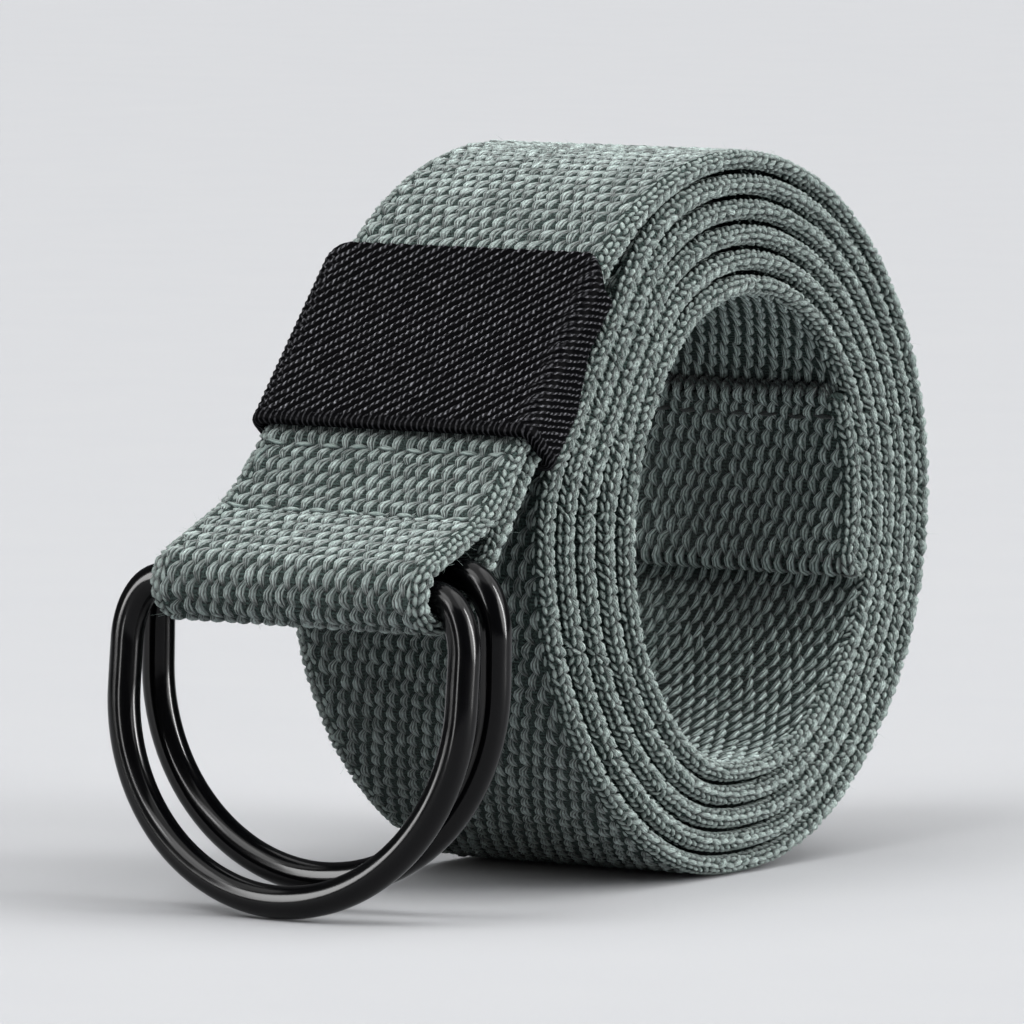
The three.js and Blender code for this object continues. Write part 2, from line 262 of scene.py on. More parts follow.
def round_section(q, h):
    """Across and out of the strip at q round its section from the middle of the outer face, and h
    above the core: flat faces that rise a little to half-round edges. A negative q goes round the
    far edge."""
    side = np.where(q < 0, -1.0, 1.0)
    q = np.abs(q)
    turn = np.clip((q - FACE_HALF) / CORE_RADIUS, 0, math.pi)
    back = np.maximum(q - FACE_HALF - math.pi * CORE_RADIUS, 0)
    rise = np.clip((q - FACE_HALF) / EDGE_BLEND + 1, 0, 1) * np.clip(1 - back / EDGE_BLEND, 0, 1)
    reach = CORE_RADIUS + h + EDGE_RISE * rise
    x = np.minimum(q, FACE_HALF) + reach * np.sin(turn) - back
    return side * x, reach * np.cos(turn)


def mesh_piece(name, points, faces, material, uv=None, values=None, smooth=True):
    """Object from points in metres and lists of equal-sided faces, with a UV for each point and
    named numbers for each point."""
    mesh = bpy.data.meshes.new(name)
    faces = [np.asarray(f, dtype=np.int32) for f in faces if len(f)]
    corners = np.concatenate([f.ravel() for f in faces])
    sizes = np.concatenate([np.full(len(f), f.shape[1], dtype=np.int32) for f in faces])
    starts = np.concatenate([[0], np.cumsum(sizes)[:-1]]).astype(np.int32)
    mesh.vertices.add(len(points))
    mesh.vertices.foreach_set("co", np.asarray(points, dtype=np.float32).ravel())
    mesh.loops.add(len(corners))
    mesh.loops.foreach_set("vertex_index", corners)
    mesh.polygons.add(len(sizes))
    mesh.polygons.foreach_set("loop_start", starts)
    mesh.polygons.foreach_set("use_smooth", np.full(len(sizes), smooth))
    if uv is not None:
        layer = mesh.uv_layers.new(name="UVMap")
        layer.data.foreach_set("uv", np.asarray(uv, dtype=np.float32)[corners].ravel())
    for key, numbers in (values or {}).items():
        attribute = mesh.attributes.new(key, "FLOAT", "POINT")
        attribute.data.foreach_set("value", np.asarray(numbers, dtype=np.float32))
    mesh.update(calc_edges=True)
    mesh.validate()
    piece = bpy.data.objects.new(name, mesh)
    bpy.context.scene.collection.objects.link(piece)
    mesh.materials.append(material)
    return piece


def grid_faces(rows, columns, closed_rows=False, closed_columns=False):
    """Quads between neighbours of a grid of points numbered row by row."""
    r = np.arange(rows if closed_rows else rows - 1)[:, None]
    c = np.arange(columns if closed_columns else columns - 1)[None]
    r2, c2 = (r + 1) % rows, (c + 1) % columns
    quads = [r * columns + c, r * columns + c2, r2 * columns + c2, r2 * columns + c]
    return np.stack(np.broadcast_arrays(*quads), axis=-1).reshape(-1, 4)


def colour(code):
    """Linear colour from an sRGB hex code."""
    parts = [int(code[i:i + 2], 16) / 255 for i in (1, 3, 5)]
    return [p / 12.92 if p <= 0.04045 else ((p + 0.055) / 1.055) ** 2.4 for p in parts] + [1.0]


def new_material(name):
    """Material with its nodes, its shader, and the function that adds a node to it."""
    material = bpy.data.materials.new(name)
    material.use_nodes = True
    tree = material.node_tree
    shader = tree.nodes["Principled BSDF"]

    def add(kind, settings=None, **links):
        """Adds a node, sets its settings, and puts a value or a link into each named input. Inputs
        that share a name are told apart by i0, i1 and so on."""
        node = tree.nodes.new(kind)
        for key, value in (settings or {}).items():
            setattr(node, key, value)
        for key, value in links.items():
            socket = node.inputs[int(key[1:])] if key[0] == "i" else node.inputs[key]
            if isinstance(value, bpy.types.NodeSocket):
                tree.links.new(value, socket)
            else:
                socket.default_value = value
        return node

    def into(socket, value):
        """Links or sets one input of the shader."""
        if isinstance(value, bpy.types.NodeSocket):
            tree.links.new(value, shader.inputs[socket])
        else:
            shader.inputs[socket].default_value = value

    return material, add, into


CROSS_THREAD_PITCH = 0.5


def ground_material():
    """Ground of a cotton knit: matt, painted dark as the shade between the loops, with faint cross
    threads and loose fibres."""
    material, add, into = new_material("cotton_knit_ground")
    place = add("ShaderNodeUVMap").outputs[0]
    along = add("ShaderNodeSeparateXYZ", i0=place).outputs[1]
    # Cross threads lie side by side along the strip.
    per_mm = 2 * math.pi / CROSS_THREAD_PITCH
    turns = add("ShaderNodeMath", {"operation": "MULTIPLY"}, i0=along, i1=per_mm).outputs[0]
    wave = add("ShaderNodeMath", {"operation": "SINE"}, i0=turns).outputs[0]
    fibre = add("ShaderNodeTexNoise", i0=place, Scale=4.0, Detail=4.0).outputs[0]
    height = add("ShaderNodeMath", {"operation": "MULTIPLY_ADD"}, i0=wave, i1=0.06, i2=fibre).outputs[0]
    light = add("ShaderNodeMapRange", i0=height, i1=0.4, i2=0.66, i3=0.0, i4=1.0).outputs[0]
    # The dark end of the ground's colour is painted shade between the loops, and the light end is the
    # yarn's own colour.
    shade = add("ShaderNodeMix", {"data_type": "RGBA"}, i0=light,
                i6=colour("#0B1110"), i7=colour("#42524E")).outputs[2]
    bump = add("ShaderNodeBump", i0=1.0, i1=0.0004, Height=height).outputs[0]
    into("Base Color", shade)
    into("Roughness", 0.95)
    into("Specular IOR Level", 0.15)
    into("Normal", bump)
    return material


CORE_STEP = 1.5


def webbing_core():
    """The core's section, a flat bar with half-round edges, carried along the whole route, and
    closed at both ends."""
    s = np.linspace(0, STRIP_LENGTH, int(STRIP_LENGTH / CORE_STEP))
    for row in STITCH_ROWS_FROM_LEAVE:
        s = np.union1d(s, LEAVE_AT + row + np.linspace(-GROOVE_REACH, GROOVE_REACH, 13))
    half_way = FACE_HALF + math.pi * CORE_RADIUS / 2
    # The columns lie closer where the section swells.
    face = np.array([0, 0.42, SWELL_FROM / FACE_HALF, 0.915, 0.97]) * FACE_HALF
    edge = FACE_HALF + CORE_RADIUS * math.pi * np.array([0, 0.25, 0.5])
    quarter = np.concatenate([face, edge])
    near = np.concatenate([quarter, 2 * half_way - quarter[-2::-1]])
    q = np.concatenate([near, -near[-2:0:-1]])
    x, n = round_section(q, 0.0)
    points = on_strip(s[:, None], x[None], n[None]).reshape(-1, 3)
    rows, columns = len(s), len(q)
    around = grid_faces(rows, columns, closed_columns=True)[:, ::-1]
    first = np.arange(columns)[None]
    last = (rows - 1) * columns + np.arange(columns)[None, ::-1]
    uv = np.stack(np.broadcast_arrays(q[None], s[:, None]), axis=-1).reshape(-1, 2)
    return mesh_piece("webbing_core", points, [around, np.concatenate([first, last])],
                      ground_material(), uv)


core = webbing_core()
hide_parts("webbing")
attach(core, "belt")


# The loops of the knit. On both faces of the webbing stand short loops of soft cotton yarn, three
# strands side by side, in rows 2 mm apart and set half a loop sideways in every other row.

ROW_PITCH = 2.0
COLUMN_PITCH = 1.82
COLUMNS = 19
LOOP_LENGTH = 3.0
LOOP_WIDTH = 1.22
LOOP_HEIGHT = 0.42
LOOP_BOW = 0.75
PRESSED_SHARE = 0.5
ROW_JITTER, COLUMN_JITTER = 0.09, 0.06
SKEW = 0.25
STRAND_DEPTH = 0.65
END_RISE = 0.06
END_WIDTH = 0.22
RIM_SINK, END_SINK = 0.12, 0.16

random = np.random.default_rng(38)


def yarn_loops(name, s, q, material, length, width, height, bow=0.0, lean=0.0, lift=0.0,
               along_points=6, across_points=5, strands=1, fullest=0.5):
    """Closed little bolsters on the strip. Each is arched along its length, fullest at a share of
    it, and round across it with a ridge for each strand, the first one the highest. It narrows to
    both ends, bows sideways and leans by an angle from the strip's direction, and its rim is sunk in
    the core. All sizes may be given for each loop."""
    count = len(s)
    a = np.linspace(0, 1, along_points)[None, :, None]
    b = np.linspace(-1, 1, across_points)[None, None, :]
    each = [np.broadcast_to(np.asarray(v, dtype=float), count)[:, None, None]
            for v in (s, q, length, width, height, bow, lean, lift)]
    s, q, length, width, height, bow, lean, lift = each
    arch = np.sin(math.pi * (END_RISE + (1 - 2 * END_RISE) * a ** (math.log(0.5) / math.log(fullest))))
    ridges = np.abs(np.sin(math.pi * strands * (b + 1) / 2))
    dome = np.sqrt(np.maximum(1 - b * b, 0)) * (1 - SKEW * b)
    dome = dome * (1 if strands == 1 else 1 - STRAND_DEPTH + STRAND_DEPTH * ridges)
    forward = (a - 0.5) * length
    bowed = bow * (arch ** 1.5 - 0.4 - 0.9 * (0.5 - a))
    sideways = b * width / 2 * (END_WIDTH + (1 - END_WIDTH) * arch) - bowed
    turn = np.radians(lean)
    along = forward * np.cos(turn) - sideways * np.sin(turn)
    across = forward * np.sin(turn) + sideways * np.cos(turn)
    up = height * arch ** 0.7 * dome + lift - RIM_SINK * (1 - dome) - END_SINK * (1 - arch)
    x, n = round_section(q + across, up)
    points = on_strip(s + along, x, n)
    per = along_points * across_points
    top = grid_faces(along_points, across_points)
    rim = np.arange(along_points - 1) * across_points
    next_rim = rim + across_points
    under = np.stack([rim, next_rim, next_rim + across_points - 1, next_rim - 1], 1)
    first = np.arange(across_points)
    last = (along_points - 1) * across_points + first[::-1]
    base = (np.arange(count) * per)[:, None, None]
    quads = (np.concatenate([top, under[:, ::-1]])[None] + base).reshape(-1, 4)
    ends = (np.stack([first[::-1], last[::-1]])[None] + base).reshape(-1, across_points)
    u = np.broadcast_to((b + 1) / 2, up.shape)
    v = np.broadcast_to(a * length, up.shape)
    uv = np.stack([u, v], axis=-1).reshape(-1, 2)
    tone = np.broadcast_to(random.random(count)[:, None, None], up.shape).ravel()
    # How high on the loop each point lies, which the yarn's material uses for its painted shade.
    crown = np.broadcast_to(arch * dome, up.shape).ravel()
    return mesh_piece(name, points.reshape(-1, 3), [quads, ends], material, uv,
                      {"tone": tone, "crown": crown})


def yarn_material(name, painted_shade, middle, ridge, strands, hairy=0.75):
    """Soft spun cotton yarn, in strands side by side: matt, a little silky at a low angle, with a painted
    highlight on the crowns of its strands and fibres, its own colour where strands meet, and painted
    shade where the loop dips into the knit. A hairier yarn has stronger streaks."""
    material, add, into = new_material(name)
    parts = add("ShaderNodeSeparateXYZ", i0=add("ShaderNodeUVMap").outputs[0])
    across, along = parts.outputs[0], parts.outputs[1]
    tone = add("ShaderNodeAttribute", {"attribute_name": "tone"}).outputs["Fac"]
    crown = add("ShaderNodeAttribute", {"attribute_name": "crown"}).outputs["Fac"]
    shift = add("ShaderNodeMath", {"operation": "MULTIPLY"}, i0=tone, i1=97.0).outputs[0]

    def noise(per_width, per_mm, detail):
        """Noise stretched along the yarn, different in each loop."""
        wide = add("ShaderNodeMath", {"operation": "MULTIPLY"}, i0=across, i1=per_width).outputs[0]
        long = add("ShaderNodeMath", {"operation": "MULTIPLY"}, i0=along, i1=per_mm).outputs[0]
        where = add("ShaderNodeCombineXYZ", i0=wide, i1=long, i2=shift).outputs[0]
        return add("ShaderNodeTexNoise", i0=where, Scale=1.0, Detail=detail).outputs[0]

    # The strands wander a little sideways, and their fibres run along them.
    wander = add("ShaderNodeMapRange", i0=noise(1.0, 0.7, 1.0), i1=0.3, i2=0.7,
                 i3=-0.09, i4=0.09).outputs[0]
    moved = add("ShaderNodeMath", {"operation": "ADD"}, i0=across, i1=wander).outputs[0]
    turns = add("ShaderNodeMath", {"operation": "MULTIPLY"}, i0=moved, i1=math.pi * strands).outputs[0]
    wave = add("ShaderNodeMath", {"operation": "SINE"}, i0=turns).outputs[0]
    strand = add("ShaderNodeMath", {"operation": "ABSOLUTE"}, i0=wave).outputs[0]
    fibre = add("ShaderNodeMapRange", i0=noise(13.0, 2.2, 4.0), i1=0.3, i2=0.7,
                i3=0.0, i4=1.0).outputs[0]
    height = add("ShaderNodeMath", {"operation": "MULTIPLY_ADD"}, i0=fibre, i1=hairy, i2=strand).outputs[0]
    # light: a painted highlight, which puts the pale ridge colour on the crowns of the strands and fibres.
    light = add("ShaderNodeMapRange", i0=height, i1=0.55, i2=0.75 + hairy, i3=0.0, i4=1.0).outputs[0]
    toned = add("ShaderNodeMapRange", i0=tone, i1=0.0, i2=1.0, i3=0.75, i4=1.1).outputs[0]
    lit = add("ShaderNodeMath", {"operation": "MULTIPLY"}, i0=light, i1=toned).outputs[0]
    body = add("ShaderNodeMix", {"data_type": "RGBA"}, i0=lit,
               i6=colour(middle), i7=colour(ridge)).outputs[2]
    # Low on the loop, where it dips into the knit, the colour goes over to painted shade.
    deep = add("ShaderNodeMapRange", i0=crown, i1=0.05, i2=0.75, i3=0.0, i4=1.0).outputs[0]
    shade = add("ShaderNodeMix", {"data_type": "RGBA"}, i0=deep, i6=colour(painted_shade), i7=body).outputs[2]
    bump = add("ShaderNodeBump", i0=1.0, i1=0.0003, Height=height).outputs[0]
    into("Base Color", shade)
    into("Roughness", 0.85)
    into("Specular IOR Level", 0.2)
    into("Sheen Weight", 0.2)
    into("Sheen Roughness", 0.5)
    into("Normal", bump)
    return material


def face_grid(start, end):
    """Places of the loops of one face between two places along the strip: rows and columns, with
    every other row moved half a column sideways, and a little unevenness."""
    row = np.arange(math.ceil(start / ROW_PITCH), math.floor(end / ROW_PITCH) + 1)
    column = np.arange(COLUMNS) - (COLUMNS - 1) / 2
    r, c = np.meshgrid(row, column, indexing="ij")
    quarter = np.where(r % 2 == 0, 0.25, -0.25)
    s = r * ROW_PITCH + random.normal(0, ROW_JITTER, r.shape)
    q = (c + quarter) * COLUMN_PITCH + random.normal(0, COLUMN_JITTER, r.shape)
    return s.ravel(), q.ravel()


# Each yarn is given by its painted shade, its own colour and its painted highlight.
yarn = yarn_material("cotton_yarn", "#0F1716", "#3C514B", "#CDDEDA", 3)
KEEPER_FROM, KEEPER_TO = -4.8, 21.7
INSIDE_FACE = 2 * FACE_HALF + math.pi * CORE_RADIUS


def face_loops(name, start, end, inner=False, along_points=6, across_points=7, strands=3, wide=1.0):
    """One stretch of the outer or the inner face, knitted over with loops, which lie low beside a row
    of stitches. Where strands are too far off to be seen one by one, the loops are plainer and a
    little wider."""
    s, q = face_grid(start, end)
    if inner:
        q = INSIDE_FACE + q
    count = len(s)
    pressed = 1 - PRESSED_SHARE * groove(s) / GROOVE_DEPTH
    piece = yarn_loops(
        name, s, q, yarn,
        LOOP_LENGTH * random.uniform(0.94, 1.06, count),
        wide * LOOP_WIDTH * random.uniform(0.86, 1.1, count),
        LOOP_HEIGHT * pressed * random.uniform(0.88, 1.08, count),
        bow=LOOP_BOW * random.uniform(0.6, 1.3, count),
        lean=random.normal(0, 6, count),
        along_points=along_points,
        across_points=across_points,
        strands=strands,
    )
    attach(piece, "belt")
    return piece


TURN_MIDDLE = LEAVE_AT - 130.0
UNDER_LAP, UNDER_KEEPER, BARE_END, FOLD_ROOM = 6.0, 1.0, 8.0, 1.0
face_loops("knit_outer_turn_below", LAP_START - UNDER_LAP, TURN_MIDDLE)
face_loops("knit_outer_turn_above", TURN_MIDDLE, LEAVE_AT + KEEPER_FROM + UNDER_KEEPER)
face_loops("knit_ring_loop", LEAVE_AT + KEEPER_TO - UNDER_KEEPER, STRIP_LENGTH - BARE_END)
INNER_TURN_END = 235.0
PLAIN_LOOP_WIDTH = 1.2
face_loops("knit_hem", 0.0, TIP_AT - FOLD_ROOM, across_points=5, strands=1, wide=PLAIN_LOOP_WIDTH)
face_loops("knit_hollow", TIP_AT + FOLD_ROOM, INNER_TURN_END, inner=True, along_points=4,
           across_points=5, strands=1, wide=PLAIN_LOOP_WIDTH)
# The hem's raw end is bound with two more rows of loops laid over it.
BINDING_AT = -0.35
BINDING_LIFTS = (-0.7, -1.5)
BINDING_LENGTH, BINDING_WIDTH, BINDING_HEIGHT = 2.2, 1.7, 0.6
end_q = (np.arange(COLUMNS) - (COLUMNS - 1) / 2) * COLUMN_PITCH
hem_end = yarn_loops("knit_hem_end", np.full(2 * COLUMNS, BINDING_AT), np.tile(end_q, 2), yarn,
                     BINDING_LENGTH, BINDING_WIDTH, BINDING_HEIGHT,
                     lift=np.repeat(BINDING_LIFTS, COLUMNS))
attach(hem_end, "belt")


# The webbing's edges. The knit is closed at both sides by a rounded selvage, where the yarn turns
# back in drop-shaped loops along both corners and in short crossed ones between them.

# Place round the section, width there, length, height, pitch along the strip, lean and its spread.
EDGE_DROPS = np.array([
    (17.3, 0.9, 2.1, 0.12, 1.9, -10, 5), (18.9, 0.7, 2.3, 0.52, 1.75, 6, 9),
    (20.4, 0.9, 2.1, 0.12, 1.9, -10, 5),
])
EDGE_KNOTS = np.array([
    (17.95, 0.56, 1.4, 0.22, 1.15, 10, 12), (18.42, 0.56, 1.4, 0.36, 1.25, -8, 12),
    (19.38, 0.54, 1.3, 0.36, 1.15, 8, 12), (19.84, 0.54, 1.3, 0.22, 1.15, -8, 14),
])
DROP_FULLEST = 0.62


def selvage(name, columns, material, side, along_points, fullest):
    """Columns of loops along one whole edge of the strip, every other one moved half a loop along."""
    places = []
    for number, column in enumerate(columns):
        along = np.arange(0.5 + number % 2 / 2, STRIP_LENGTH / column[4] - 0.5) * column[4]
        places.append(np.column_stack([along, np.tile(column, (len(along), 1))]))
    s, q, width, length, height, pitch, lean, spread = np.concatenate(places).T
    count = len(s)
    piece = yarn_loops(
        name,
        s + random.normal(0, 0.05, count) * pitch,
        side * (q + random.normal(0, 0.04, count)),
        material,
        length * random.uniform(0.9, 1.1, count),
        width * random.uniform(0.85, 1.12, count),
        height * random.uniform(0.8, 1.15, count),
        lean=side * (lean + spread * random.normal(0, 1, count)),
        along_points=along_points,
        across_points=4,
        fullest=fullest,
    )
    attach(piece, "belt")


short_yarn = yarn_material("cotton_edge_yarn", "#0C1312", "#41554F", "#C8D9D4", 1, hairy=1.3)
for where, side in (("near", 1.0), ("far", -1.0)):
    selvage(f"selvage_{where}", EDGE_DROPS, short_yarn, side, 5, DROP_FULLEST)
    selvage(f"selvage_knots_{where}", EDGE_KNOTS, short_yarn, side, 4, 0.5)


# Loose fibres. Cotton yarn is spun from short hairs, and their ends stand off the loops all over the
# webbing as a thin fuzz, thickest along the edges.

# A cotton hair is about 0.02 mm thick, and is drawn a little thicker so that it shows.
FIBRE_RADIUS = 0.016
FIBRE_BEND, FIBRE_ASIDE = 0.45, 0.6
FIBRE_TAPER = 0.7
EDGE_FIBRES, FACE_FIBRES = 2300, 500
EDGE_FIBRE_LENGTHS, FACE_FIBRE_LENGTHS = (0.35, 1.0), (0.35, 0.9)
EDGE_PLACES, FACE_PLACES = (17.4, 20.4), (-17.0, 17.0)
OFF_ENDS = 5.0


def fibres(name, s, q, material, length, radius, lift, outwards, ahead):
    """Tapering hairs with three sides. Each leaves its place on the strip in a direction made of so
    much outwards, so much ahead and a little aside, and a bend is added to it with the square of the
    distance."""
    count = len(s)
    t = np.array([0.0, 0.45, 1.0])[None, :, None]
    root = on_strip(s, *round_section(q, lift))
    out = on_strip(s, *round_section(q, lift + 0.1)) - root
    along = on_strip(s + 0.1, *round_section(q, lift)) - root
    out, along = (v / np.linalg.norm(v, axis=1)[:, None] for v in (out, along))
    across = np.cross(out, along)
    aside = random.normal(0, FIBRE_ASIDE, count)[:, None]
    start = outwards[:, None] * out + ahead[:, None] * along + aside * across
    start = start / np.linalg.norm(start, axis=1)[:, None]
    bend = random.normal(0, FIBRE_BEND, (count, 3))
    reach = MM * np.broadcast_to(length, count)[:, None, None]
    path = root[:, None] + reach * (t * start[:, None] + t * t * bend[:, None])
    # The ones that meet the floor lie down on it.
    path[..., 2] = np.maximum(path[..., 2], 0.0)
    side = np.cross(start, out + 0.3 * across)
    side = side / np.linalg.norm(side, axis=1)[:, None]
    other = np.cross(start, side)
    turn = 2 * math.pi * np.arange(3) / 3
    ring = np.cos(turn)[None, :, None] * side[:, None] + np.sin(turn)[None, :, None] * other[:, None]
    thick = MM * radius * (1 - FIBRE_TAPER * t)
    points = path[:, :, None] + thick[..., None] * ring[:, None]
    base = (np.arange(count) * ring.shape[1] * t.shape[1])[:, None, None]
    walls = (grid_faces(3, 3, closed_columns=True)[None] + base).reshape(-1, 4)
    caps = (np.array([[2, 1, 0], [6, 7, 8]])[None] + base).reshape(-1, 3)
    piece = mesh_piece(name, points.reshape(-1, 3), [walls, caps], material)
    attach(piece, "belt")


def fibre_material():
    """Single cotton fibres: pale and matt, lighter and darker from one to the next."""
    material, add, into = new_material("loose_cotton_fibre")
    place = add("ShaderNodeTexCoord").outputs["Object"]
    uneven = add("ShaderNodeTexNoise", i0=place, Scale=900.0).outputs[0]
    shade = add("ShaderNodeMix", {"data_type": "RGBA"}, i0=uneven,
                i6=colour("#7F918C"), i7=colour("#B9CAC5"))
    into("Base Color", shade.outputs[2])
    into("Roughness", 0.9)
    into("Specular IOR Level", 0.2)
    return material


fuzz = fibre_material()
edge_q = random.uniform(*EDGE_PLACES, EDGE_FIBRES) * random.choice((-1.0, 1.0), EDGE_FIBRES)
fibres("fuzz_edges", random.uniform(OFF_ENDS, STRIP_LENGTH - OFF_ENDS, EDGE_FIBRES), edge_q, fuzz,
       random.uniform(*EDGE_FIBRE_LENGTHS, EDGE_FIBRES), FIBRE_RADIUS, 0.3,
       random.uniform(0.3, 1.2, EDGE_FIBRES), random.normal(0, 0.8, EDGE_FIBRES))
# Three quarters of those on the face stand on the outer turn, and the rest on the ring loop.
on_turn = FACE_FIBRES * 3 // 4
face_s = np.concatenate([
    random.uniform(LAP_START, LEAVE_AT + KEEPER_FROM, on_turn),
    random.uniform(LEAVE_AT + KEEPER_TO, STRIP_LENGTH - 2 * OFF_ENDS, FACE_FIBRES - on_turn),
])
fibres("fuzz_faces", face_s, random.uniform(*FACE_PLACES, FACE_FIBRES), fuzz,
       random.uniform(*FACE_FIBRE_LENGTHS, FACE_FIBRES), FIBRE_RADIUS, 0.35,
       random.uniform(0.1, 0.8, FACE_FIBRES), random.normal(0, 0.8, FACE_FIBRES))


# The stitching. Two rows of lockstitch in grey-green thread hold the folded end under the strap, one
# just below the keeper and one at the neck, and a third holds the hem at the inner tip.

STITCH_PITCH = 4.0
STITCH_LENGTH = 2.7
STITCH_WIDTH = 0.62
STITCH_HEIGHT = 0.42
STITCH_LIFT = 0.3
STITCH_HALF_ROW = 16.2


def stitch_row(name, at, material):
    """A row of stitches across the strip at one place along it, each a thread that dips at its ends."""
    across = np.arange(-STITCH_HALF_ROW, STITCH_HALF_ROW + 0.1, STITCH_PITCH)
    q = across + random.normal(0, 0.12, len(across))
    s = at + random.normal(0, 0.08, len(across))
    piece = yarn_loops(name, s, q, material, STITCH_LENGTH, STITCH_WIDTH, STITCH_HEIGHT,
                       lean=90 + random.normal(0, 3, len(across)), lift=STITCH_LIFT,
                       along_points=9, across_points=7)
    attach(piece, "belt")


thread = yarn_material("sewing_thread", "#2A3A38", "#7E9690", "#D6E6E1", 2)
for number, row_at in enumerate(STITCH_ROWS_FROM_LEAVE, start=1):
    stitch_row(f"stitch_row_{number}", LEAVE_AT + row_at, thread)
# The upper row's cut thread end lies loose by the webbing's edge.
TAIL_BELOW_ROW, TAIL_ACROSS = 2.1, -17.0
TAIL_LENGTH, TAIL_WIDTH, TAIL_HEIGHT = 3.6, 0.4, 0.4
tail = yarn_loops("thread_tail", np.array([LEAVE_AT + STITCH_ROWS_FROM_LEAVE[0] + TAIL_BELOW_ROW]),
                  np.array([TAIL_ACROSS]), thread, TAIL_LENGTH, TAIL_WIDTH, TAIL_HEIGHT,
                  bow=0.5, lean=-8, lift=0.4, along_points=9, across_points=7)
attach(tail, "belt")
dark_thread = yarn_material("hem_thread", "#0B1110", "#1C2625", "#33413F", 2)
HEM_STITCH_AT = 2.4
stitch_row("hem_stitches", HEM_STITCH_AT, dark_thread)


# The keeper. A closed sleeve of black twill tape pulled tight over the strap and the layer folded
# back under it, thin at the top and deep at the bottom, with a round lip at both ends and its lower
# edge wrapped into a low roll.

KEEPER_WALL = 1.2
KEEPER_HIGH = STRAP_RADIUS + LAYER_GAP + KEEPER_WALL
KEEPER_HALF = 19.0 + LAYER_GAP + KEEPER_WALL
KEEPER_DEPTH = np.array([(KEEPER_FROM, 5.7), (4.0, 5.4), (12.0, 8.1), (KEEPER_TO, 8.1)])
KEEPER_CORNER = 1.7
KEEPER_STEP = 0.22
COLUMNS_HALF_ROUND = 200
LIP_REACH = 0.3
INNER_MIDDLE = 8.0
RIB_HEIGHT = 0.3
CORNER_DROP = 3.8
DROP_FROM, DROP_OVER = 17.5, 5.0
EDGE_ROLL = 1.3
EDGE_ROLL_HEIGHT = 0.16
EDGE_ROLL_START = 0.35
WRAP_PITCH = 0.8
WRAP_HEIGHT, WRAP_WANDER = 0.03, 0.25
# Turns per millimetre across and along the tape, of the twill's ribs and of the warp between floats.
RIB = (0.52, 0.66)
WARP = (1.8, 0.25)
# Down the strap's sides the tape is drawn out, and its ribs lie closer and less steep.
SIDE_FROM, SIDE_TO = 17.6, 20.2
SIDE_RIB = (0.68, 1.04)
SIDE_WARP = (1.7, 0.65)


def half_sleeve(d, along, inset):
    """Across and out of the strap at a distance d from the middle of the sleeve's outer side, round
    to the middle of its inner side, with the outward direction there: a rounded rectangle, drawn
    inset from the outer face, whose depth changes along the strap."""
    depth = np.interp(along, KEEPER_DEPTH[:, 0], KEEPER_DEPTH[:, 1]) - 2 * inset
    half = KEEPER_HALF - inset
    corner = np.maximum(KEEPER_CORNER - inset, 0.3)
    flat = half - corner
    arc = math.pi / 2 * corner
    tall = depth - 2 * corner
    d = d * (2 * flat + 2 * arc + tall)
    first = np.clip((d - flat) / corner, 0, math.pi / 2)
    second = np.clip((d - flat - arc - tall) / corner, 0, math.pi / 2)
    x = np.clip(d, 0, flat) + corner * np.sin(first) - corner * (1 - np.cos(second))
    x = x - np.clip(d - flat - 2 * arc - tall, 0, flat)
    y = -corner * (1 - np.cos(first)) - np.clip(d - flat - arc, 0, tall) - corner * np.sin(second)
    turn = first + second
    return x, KEEPER_HIGH - inset + y, np.sin(turn), np.cos(turn), d


def twill_relief(d, along):
    """Height of the twill above its ground: slanting ribs, that give way to closer and less steep
    ones on the strap's sides."""
    side = np.clip((np.abs(d) - SIDE_FROM) / (SIDE_TO - SIDE_FROM), 0, 1)
    front_rib = np.cos(2 * math.pi * (RIB[0] * d + RIB[1] * along))
    side_rib = np.cos(2 * math.pi * (SIDE_RIB[0] * np.abs(d) + SIDE_RIB[1] * along))
    front = 0.5 + 0.5 * front_rib
    return RIB_HEIGHT * (front * (1 - side) + (0.4 + 0.3 * side_rib) * side)


